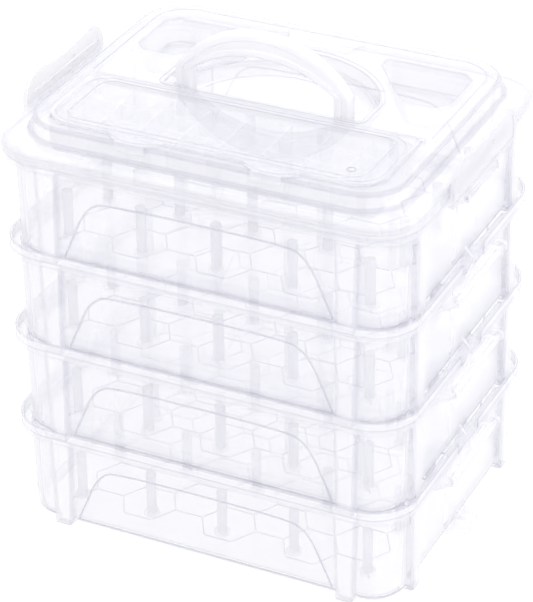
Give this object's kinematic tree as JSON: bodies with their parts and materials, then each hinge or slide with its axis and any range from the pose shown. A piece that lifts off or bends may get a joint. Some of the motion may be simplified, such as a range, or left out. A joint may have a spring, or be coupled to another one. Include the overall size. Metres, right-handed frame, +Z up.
{
  "type": "sewing box with trays",
  "caption": "Clear stacking sewing box: trays of thread pegs joined by side clips, under a lid with a hinged bobbin cover, back pockets and a folding handle.",
  "frame": {"origin": "centre of the footprint, on the surface the feet stand on", "axes": "+X to the right along the long side, +Y to the back, +Z up; the front (bobbin cover side) faces -Y"},
  "size_m": [0.2712, 0.2106, 0.304],
  "materials": {
    "tray_plastic": "clear, very pale lavender grey",
    "peg_plastic": "clear, slightly milky",
    "clip_plastic": "clear gloss",
    "lid_plastic": "clear gloss",
    "cover_plastic": "clear gloss",
    "divider_plastic": "clear, slightly milky",
    "handle_plastic": "clear, milky gloss"
  },
  "bodies": {
    "tray_1": {"tray_1": "tray_plastic", "spool_pegs_1": "peg_plastic"},
    "tray_2": {"tray_2": "tray_plastic", "spool_pegs_2": "peg_plastic"},
    "tray_3": {"tray_3": "tray_plastic", "spool_pegs_3": "peg_plastic"},
    "tray_4": {"tray_4": "tray_plastic", "spool_pegs_4": "peg_plastic"},
    "lid": {"lid": "lid_plastic", "long_dividers": "divider_plastic", "cross_dividers": "divider_plastic"},
    "front_cover": {"front_cover": "cover_plastic"},
    "handle": {"handle": "handle_plastic"},
    "lid_latch_left": {"lid_latch_left": "clip_plastic"},
    "lid_latch_right": {"lid_latch_right": "clip_plastic"},
    "tier_clip_left_1": {"tier_clip_left_1": "clip_plastic"},
    "tier_clip_left_2": {"tier_clip_left_2": "clip_plastic"},
    "tier_clip_left_3": {"tier_clip_left_3": "clip_plastic"},
    "tier_clip_right_1": {"tier_clip_right_1": "clip_plastic"},
    "tier_clip_right_2": {"tier_clip_right_2": "clip_plastic"},
    "tier_clip_right_3": {"tier_clip_right_3": "clip_plastic"}
  },
  "joints": [
    {"name": "tray_2_lift", "type": "slide", "parent": "tray_1", "child": "tray_2", "axis": [0, 0, 1], "range_m": [0, 0.05]},
    {"name": "tray_3_lift", "type": "slide", "parent": "tray_2", "child": "tray_3", "axis": [0, 0, 1], "range_m": [0, 0.05]},
    {"name": "tray_4_lift", "type": "slide", "parent": "tray_3", "child": "tray_4", "axis": [0, 0, 1], "range_m": [0, 0.05]},
    {"name": "lid_lift", "type": "slide", "parent": "tray_4", "child": "lid", "axis": [0, 0, 1], "range_m": [0, 0.05]},
    {"name": "tier_clip_left_1_hinge", "type": "hinge", "parent": "tray_1", "child": "tier_clip_left_1", "pos_m": [-0.132, 0, 0.055], "axis": [0, -1, 0], "range_deg": [-6, 100]},
    {"name": "tier_clip_left_2_hinge", "type": "hinge", "parent": "tray_2", "child": "tier_clip_left_2", "pos_m": [-0.132, 0, 0.1155], "axis": [0, -1, 0], "range_deg": [-6, 100]},
    {"name": "tier_clip_left_3_hinge", "type": "hinge", "parent": "tray_3", "child": "tier_clip_left_3", "pos_m": [-0.132, 0, 0.176], "axis": [0, -1, 0], "range_deg": [-6, 100]},
    {"name": "lid_latch_left_hinge", "type": "hinge", "parent": "tray_4", "child": "lid_latch_left", "pos_m": [-0.132, -0.003, 0.238], "axis": [0, -1, 0], "range_deg": [-5.5, 110]},
    {"name": "tier_clip_right_1_hinge", "type": "hinge", "parent": "tray_1", "child": "tier_clip_right_1", "pos_m": [0.132, 0, 0.055], "axis": [0, 1, 0], "range_deg": [-6, 100]},
    {"name": "tier_clip_right_2_hinge", "type": "hinge", "parent": "tray_2", "child": "tier_clip_right_2", "pos_m": [0.132, 0, 0.1155], "axis": [0, 1, 0], "range_deg": [-6, 100]},
    {"name": "tier_clip_right_3_hinge", "type": "hinge", "parent": "tray_3", "child": "tier_clip_right_3", "pos_m": [0.132, 0, 0.176], "axis": [0, 1, 0], "range_deg": [-6, 100]},
    {"name": "lid_latch_right_hinge", "type": "hinge", "parent": "tray_4", "child": "lid_latch_right", "pos_m": [0.132, -0.003, 0.238], "axis": [0, 1, 0], "range_deg": [-5.5, 110]},
    {"name": "cover_hinge", "type": "hinge", "parent": "lid", "child": "front_cover", "pos_m": [0, -0.0195, 0.2638], "axis": [-1, 0, 0], "range_deg": [0, 95]},
    {"name": "handle_fold", "type": "hinge", "parent": "lid", "child": "handle", "pos_m": [0, -0.007, 0.259], "axis": [-1, 0, 0], "range_deg": [0, 90]}
  ]
}
